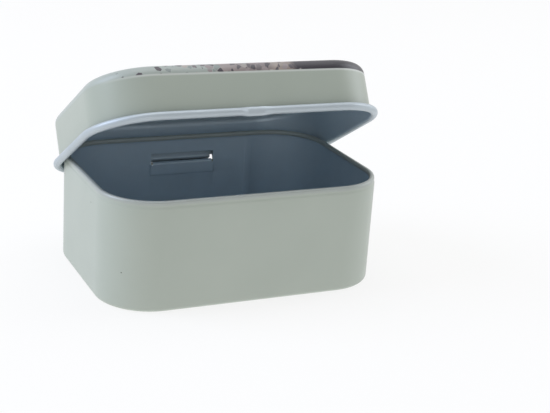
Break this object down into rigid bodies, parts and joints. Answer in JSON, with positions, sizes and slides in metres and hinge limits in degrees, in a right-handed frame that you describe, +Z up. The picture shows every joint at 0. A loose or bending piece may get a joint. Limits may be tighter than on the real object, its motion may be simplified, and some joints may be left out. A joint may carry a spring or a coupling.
{
  "type": "hinged metal tin",
  "caption": "Deep rounded-rectangle tin with a deep hinged lid, rolled bead and thumb dent, standing part open.",
  "frame": {"origin": "on the surface that the tin stands on, under the middle of the open tin's box", "axes": "+Z up, +X along the tin's length, +Y towards the hinge"},
  "size_m": [0.1062, 0.0806, 0.0773],
  "materials": {
    "body_enamel": "grey-green lacquer outside, slate-blue lacquer inside",
    "inside_lacquer": "slate-blue lacquer",
    "lid_enamel": "grey-green lacquer outside, slate-blue lacquer inside",
    "steel_wire": "bright drawn wire"
  },
  "bodies": {
    "tin": {"body_wall": "body_enamel", "bottom_panel": "inside_lacquer", "hinge_pin": "steel_wire"},
    "lid": {"lid": "lid_enamel"}
  },
  "joints": [
    {"name": "lid_hinge", "type": "hinge", "parent": "tin", "child": "lid", "pos_m": [0, 0.03341, 0.0254], "axis": [-1, 0, 0], "range_deg": [-30.4, 74.6]}
  ]
}
